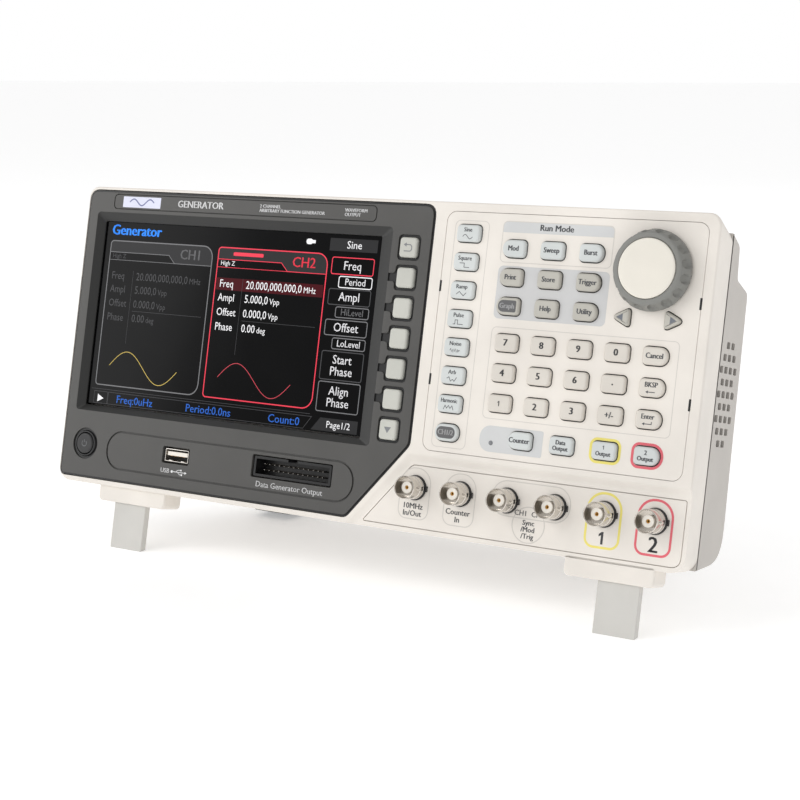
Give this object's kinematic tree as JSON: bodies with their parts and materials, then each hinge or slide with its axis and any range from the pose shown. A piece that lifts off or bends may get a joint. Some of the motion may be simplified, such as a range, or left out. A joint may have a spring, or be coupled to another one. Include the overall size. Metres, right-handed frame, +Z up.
{
  "type": "function generator",
  "caption": "Bench function generator leaning back on two fold-out legs, with a wide colour screen, soft keys, keypad, ribbed knob and a row of coaxial sockets.",
  "frame": {"origin": "on the floor, below the centre of the bounding box, as it stands on its deployed legs and rear feet", "axes": "+X to the right as seen from the front, +Y from the front panel towards the back, +Z up; the instrument leans back about X by 12.5 degrees"},
  "size_m": [0.313, 0.1326, 0.1622],
  "materials": {
    "cream_plastic": "fine satin texture",
    "grey_plastic": "fine matt texture",
    "dark_plastic": "satin, fine grain",
    "cool_key": "soft satin, bluish grey",
    "warm_key": "soft satin, warm grey",
    "dark_key": "soft satin, dark face",
    "knob_grey": "matt, soft touch",
    "nickel": "bright nickel plate",
    "gold": "gold-plated contact",
    "white_insulator": "smooth white plastic",
    "screen_glass": "gloss display window",
    "screen_light": "lit display graphics",
    "panel_print": "screen-printed marks and outlines",
    "circuit_board": "solder mask with components",
    "steel_screw": "zinc-plated",
    "black_plastic": "fine matt"
  },
  "bodies": {
    "case": {"front_frame": "cream_plastic", "screen_bezel": "dark_plastic", "key_panel": "cream_plastic", "rear_housing": "grey_plastic", "display_module": "screen_glass", "connector_board": "nickel", "key_board": "circuit_board", "main_board": "circuit_board", "power_supply": "circuit_board", "mains_inlet": "black_plastic"},
    "knob": {"knob_grip": "knob_grey", "knob_cap": "cream_plastic"},
    "tilt_leg_left": {"tilt_leg_left": "grey_plastic"},
    "tilt_leg_right": {"tilt_leg_right": "grey_plastic"},
    "power_button": {"power_button": "dark_plastic"},
    "key_0": {"key_0": "warm_key"},
    "key_1": {"key_1": "warm_key"},
    "key_2": {"key_2": "warm_key"},
    "key_3": {"key_3": "warm_key"},
    "key_4": {"key_4": "warm_key"},
    "key_5": {"key_5": "warm_key"},
    "key_6": {"key_6": "warm_key"},
    "key_7": {"key_7": "warm_key"},
    "key_8": {"key_8": "warm_key"},
    "key_9": {"key_9": "warm_key"},
    "key_arbitrary": {"key_arbitrary": "cool_key"},
    "key_arrow_left": {"key_arrow_left": "warm_key"},
    "key_arrow_right": {"key_arrow_right": "warm_key"},
    "key_backspace": {"key_backspace": "warm_key"},
    "key_burst": {"key_burst": "cool_key"},
    "key_cancel": {"key_cancel": "warm_key"},
    "key_channel": {"key_channel": "dark_key"},
    "key_counter": {"key_counter": "cool_key"},
    "key_data_output": {"key_data_output": "cool_key"},
    "key_enter": {"key_enter": "warm_key"},
    "key_graph": {"key_graph": "warm_key"},
    "key_harmonic": {"key_harmonic": "cool_key"},
    "key_help": {"key_help": "warm_key"},
    "key_modulation": {"key_modulation": "cool_key"},
    "key_noise": {"key_noise": "cool_key"},
    "key_output_1": {"key_output_1": "cool_key"},
    "key_output_2": {"key_output_2": "cool_key"},
    "key_point": {"key_point": "warm_key"},
    "key_print": {"key_print": "warm_key"},
    "key_pulse": {"key_pulse": "cool_key"},
    "key_ramp": {"key_ramp": "cool_key"},
    "key_sign": {"key_sign": "warm_key"},
    "key_sine": {"key_sine": "cool_key"},
    "key_square": {"key_square": "cool_key"},
    "key_store": {"key_store": "warm_key"},
    "key_sweep": {"key_sweep": "cool_key"},
    "key_trigger": {"key_trigger": "warm_key"},
    "key_utility": {"key_utility": "warm_key"},
    "softkey_1": {"softkey_1": "warm_key"},
    "softkey_2": {"softkey_2": "warm_key"},
    "softkey_3": {"softkey_3": "warm_key"},
    "softkey_4": {"softkey_4": "warm_key"},
    "softkey_5": {"softkey_5": "warm_key"},
    "softkey_next": {"softkey_next": "warm_key"},
    "softkey_return": {"softkey_return": "warm_key"}
  },
  "joints": [
    {"name": "key_0_press", "type": "slide", "parent": "case", "child": "key_0", "axis": [0, 0.9764, -0.2158], "range_m": [0, 0.001], "stiffness_N_per_m": 900},
    {"name": "key_1_press", "type": "slide", "parent": "case", "child": "key_1", "axis": [0, 0.9764, -0.2158], "range_m": [0, 0.001], "stiffness_N_per_m": 900},
    {"name": "key_2_press", "type": "slide", "parent": "case", "child": "key_2", "axis": [0, 0.9764, -0.2158], "range_m": [0, 0.001], "stiffness_N_per_m": 900},
    {"name": "key_3_press", "type": "slide", "parent": "case", "child": "key_3", "axis": [0, 0.9764, -0.2158], "range_m": [0, 0.001], "stiffness_N_per_m": 900},
    {"name": "key_4_press", "type": "slide", "parent": "case", "child": "key_4", "axis": [0, 0.9764, -0.2158], "range_m": [0, 0.001], "stiffness_N_per_m": 900},
    {"name": "key_5_press", "type": "slide", "parent": "case", "child": "key_5", "axis": [0, 0.9764, -0.2158], "range_m": [0, 0.001], "stiffness_N_per_m": 900},
    {"name": "key_6_press", "type": "slide", "parent": "case", "child": "key_6", "axis": [0, 0.9764, -0.2158], "range_m": [0, 0.001], "stiffness_N_per_m": 900},
    {"name": "key_7_press", "type": "slide", "parent": "case", "child": "key_7", "axis": [0, 0.9764, -0.2158], "range_m": [0, 0.001], "stiffness_N_per_m": 900},
    {"name": "key_8_press", "type": "slide", "parent": "case", "child": "key_8", "axis": [0, 0.9764, -0.2158], "range_m": [0, 0.001], "stiffness_N_per_m": 900},
    {"name": "key_9_press", "type": "slide", "parent": "case", "child": "key_9", "axis": [0, 0.9764, -0.2158], "range_m": [0, 0.001], "stiffness_N_per_m": 900},
    {"name": "key_arbitrary_press", "type": "slide", "parent": "case", "child": "key_arbitrary", "axis": [0, 0.9764, -0.2158], "range_m": [0, 0.001], "stiffness_N_per_m": 900},
    {"name": "key_arrow_left_press", "type": "slide", "parent": "case", "child": "key_arrow_left", "axis": [0, 0.9764, -0.2158], "range_m": [0, 0.001], "stiffness_N_per_m": 900},
    {"name": "key_arrow_right_press", "type": "slide", "parent": "case", "child": "key_arrow_right", "axis": [0, 0.9764, -0.2158], "range_m": [0, 0.001], "stiffness_N_per_m": 900},
    {"name": "key_backspace_press", "type": "slide", "parent": "case", "child": "key_backspace", "axis": [0, 0.9764, -0.2158], "range_m": [0, 0.001], "stiffness_N_per_m": 900},
    {"name": "key_burst_press", "type": "slide", "parent": "case", "child": "key_burst", "axis": [0, 0.9764, -0.2158], "range_m": [0, 0.001], "stiffness_N_per_m": 900},
    {"name": "key_cancel_press", "type": "slide", "parent": "case", "child": "key_cancel", "axis": [0, 0.9764, -0.2158], "range_m": [0, 0.001], "stiffness_N_per_m": 900},
    {"name": "key_channel_press", "type": "slide", "parent": "case", "child": "key_channel", "axis": [0, 0.9764, -0.2158], "range_m": [0, 0.001], "stiffness_N_per_m": 900},
    {"name": "key_counter_press", "type": "slide", "parent": "case", "child": "key_counter", "axis": [0, 0.9764, -0.2158], "range_m": [0, 0.001], "stiffness_N_per_m": 900},
    {"name": "key_data_output_press", "type": "slide", "parent": "case", "child": "key_data_output", "axis": [0, 0.9764, -0.2158], "range_m": [0, 0.001], "stiffness_N_per_m": 900},
    {"name": "key_enter_press", "type": "slide", "parent": "case", "child": "key_enter", "axis": [0, 0.9764, -0.2158], "range_m": [0, 0.001], "stiffness_N_per_m": 900},
    {"name": "key_graph_press", "type": "slide", "parent": "case", "child": "key_graph", "axis": [0, 0.9764, -0.2158], "range_m": [0, 0.001], "stiffness_N_per_m": 900},
    {"name": "key_harmonic_press", "type": "slide", "parent": "case", "child": "key_harmonic", "axis": [0, 0.9764, -0.2158], "range_m": [0, 0.001], "stiffness_N_per_m": 900},
    {"name": "key_help_press", "type": "slide", "parent": "case", "child": "key_help", "axis": [0, 0.9764, -0.2158], "range_m": [0, 0.001], "stiffness_N_per_m": 900},
    {"name": "key_modulation_press", "type": "slide", "parent": "case", "child": "key_modulation", "axis": [0, 0.9764, -0.2158], "range_m": [0, 0.001], "stiffness_N_per_m": 900},
    {"name": "key_noise_press", "type": "slide", "parent": "case", "child": "key_noise", "axis": [0, 0.9764, -0.2158], "range_m": [0, 0.001], "stiffness_N_per_m": 900},
    {"name": "key_output_1_press", "type": "slide", "parent": "case", "child": "key_output_1", "axis": [0, 0.9764, -0.2158], "range_m": [0, 0.001], "stiffness_N_per_m": 900},
    {"name": "key_output_2_press", "type": "slide", "parent": "case", "child": "key_output_2", "axis": [0, 0.9764, -0.2158], "range_m": [0, 0.001], "stiffness_N_per_m": 900},
    {"name": "key_point_press", "type": "slide", "parent": "case", "child": "key_point", "axis": [0, 0.9764, -0.2158], "range_m": [0, 0.001], "stiffness_N_per_m": 900},
    {"name": "key_print_press", "type": "slide", "parent": "case", "child": "key_print", "axis": [0, 0.9764, -0.2158], "range_m": [0, 0.001], "stiffness_N_per_m": 900},
    {"name": "key_pulse_press", "type": "slide", "parent": "case", "child": "key_pulse", "axis": [0, 0.9764, -0.2158], "range_m": [0, 0.001], "stiffness_N_per_m": 900},
    {"name": "key_ramp_press", "type": "slide", "parent": "case", "child": "key_ramp", "axis": [0, 0.9764, -0.2158], "range_m": [0, 0.001], "stiffness_N_per_m": 900},
    {"name": "key_sign_press", "type": "slide", "parent": "case", "child": "key_sign", "axis": [0, 0.9764, -0.2158], "range_m": [0, 0.001], "stiffness_N_per_m": 900},
    {"name": "key_sine_press", "type": "slide", "parent": "case", "child": "key_sine", "axis": [0, 0.9764, -0.2158], "range_m": [0, 0.001], "stiffness_N_per_m": 900},
    {"name": "key_square_press", "type": "slide", "parent": "case", "child": "key_square", "axis": [0, 0.9764, -0.2158], "range_m": [0, 0.001], "stiffness_N_per_m": 900},
    {"name": "key_store_press", "type": "slide", "parent": "case", "child": "key_store", "axis": [0, 0.9764, -0.2158], "range_m": [0, 0.001], "stiffness_N_per_m": 900},
    {"name": "key_sweep_press", "type": "slide", "parent": "case", "child": "key_sweep", "axis": [0, 0.9764, -0.2158], "range_m": [0, 0.001], "stiffness_N_per_m": 900},
    {"name": "key_trigger_press", "type": "slide", "parent": "case", "child": "key_trigger", "axis": [0, 0.9764, -0.2158], "range_m": [0, 0.001], "stiffness_N_per_m": 900},
    {"name": "key_utility_press", "type": "slide", "parent": "case", "child": "key_utility", "axis": [0, 0.9764, -0.2158], "range_m": [0, 0.001], "stiffness_N_per_m": 900},
    {"name": "softkey_1_press", "type": "slide", "parent": "case", "child": "softkey_1", "axis": [0, 0.9764, -0.2158], "range_m": [0, 0.001], "stiffness_N_per_m": 900},
    {"name": "softkey_2_press", "type": "slide", "parent": "case", "child": "softkey_2", "axis": [0, 0.9764, -0.2158], "range_m": [0, 0.001], "stiffness_N_per_m": 900},
    {"name": "softkey_3_press", "type": "slide", "parent": "case", "child": "softkey_3", "axis": [0, 0.9764, -0.2158], "range_m": [0, 0.001], "stiffness_N_per_m": 900},
    {"name": "softkey_4_press", "type": "slide", "parent": "case", "child": "softkey_4", "axis": [0, 0.9764, -0.2158], "range_m": [0, 0.001], "stiffness_N_per_m": 900},
    {"name": "softkey_5_press", "type": "slide", "parent": "case", "child": "softkey_5", "axis": [0, 0.9764, -0.2158], "range_m": [0, 0.001], "stiffness_N_per_m": 900},
    {"name": "softkey_next_press", "type": "slide", "parent": "case", "child": "softkey_next", "axis": [0, 0.9764, -0.2158], "range_m": [0, 0.001], "stiffness_N_per_m": 900},
    {"name": "softkey_return_press", "type": "slide", "parent": "case", "child": "softkey_return", "axis": [0, 0.9764, -0.2158], "range_m": [0, 0.001], "stiffness_N_per_m": 900},
    {"name": "power_button_press", "type": "slide", "parent": "case", "child": "power_button", "axis": [0, 0.9764, -0.2158], "range_m": [0, 0.001], "stiffness_N_per_m": 1200},
    {"name": "knob_turn", "type": "hinge", "parent": "case", "child": "knob", "pos_m": [0.1314, -0.03683, 0.13967], "axis": [0, 0.9764, -0.2158], "continuous": true},
    {"name": "tilt_leg_left_fold", "type": "hinge", "parent": "case", "child": "tilt_leg_left", "pos_m": [-0.114, -0.05768, 0.02332], "axis": [1, 0, 0], "range_deg": [0, 90]},
    {"name": "tilt_leg_right_fold", "type": "hinge", "parent": "case", "child": "tilt_leg_right", "pos_m": [0.13, -0.05768, 0.02332], "axis": [1, 0, 0], "range_deg": [0, 90]}
  ]
}
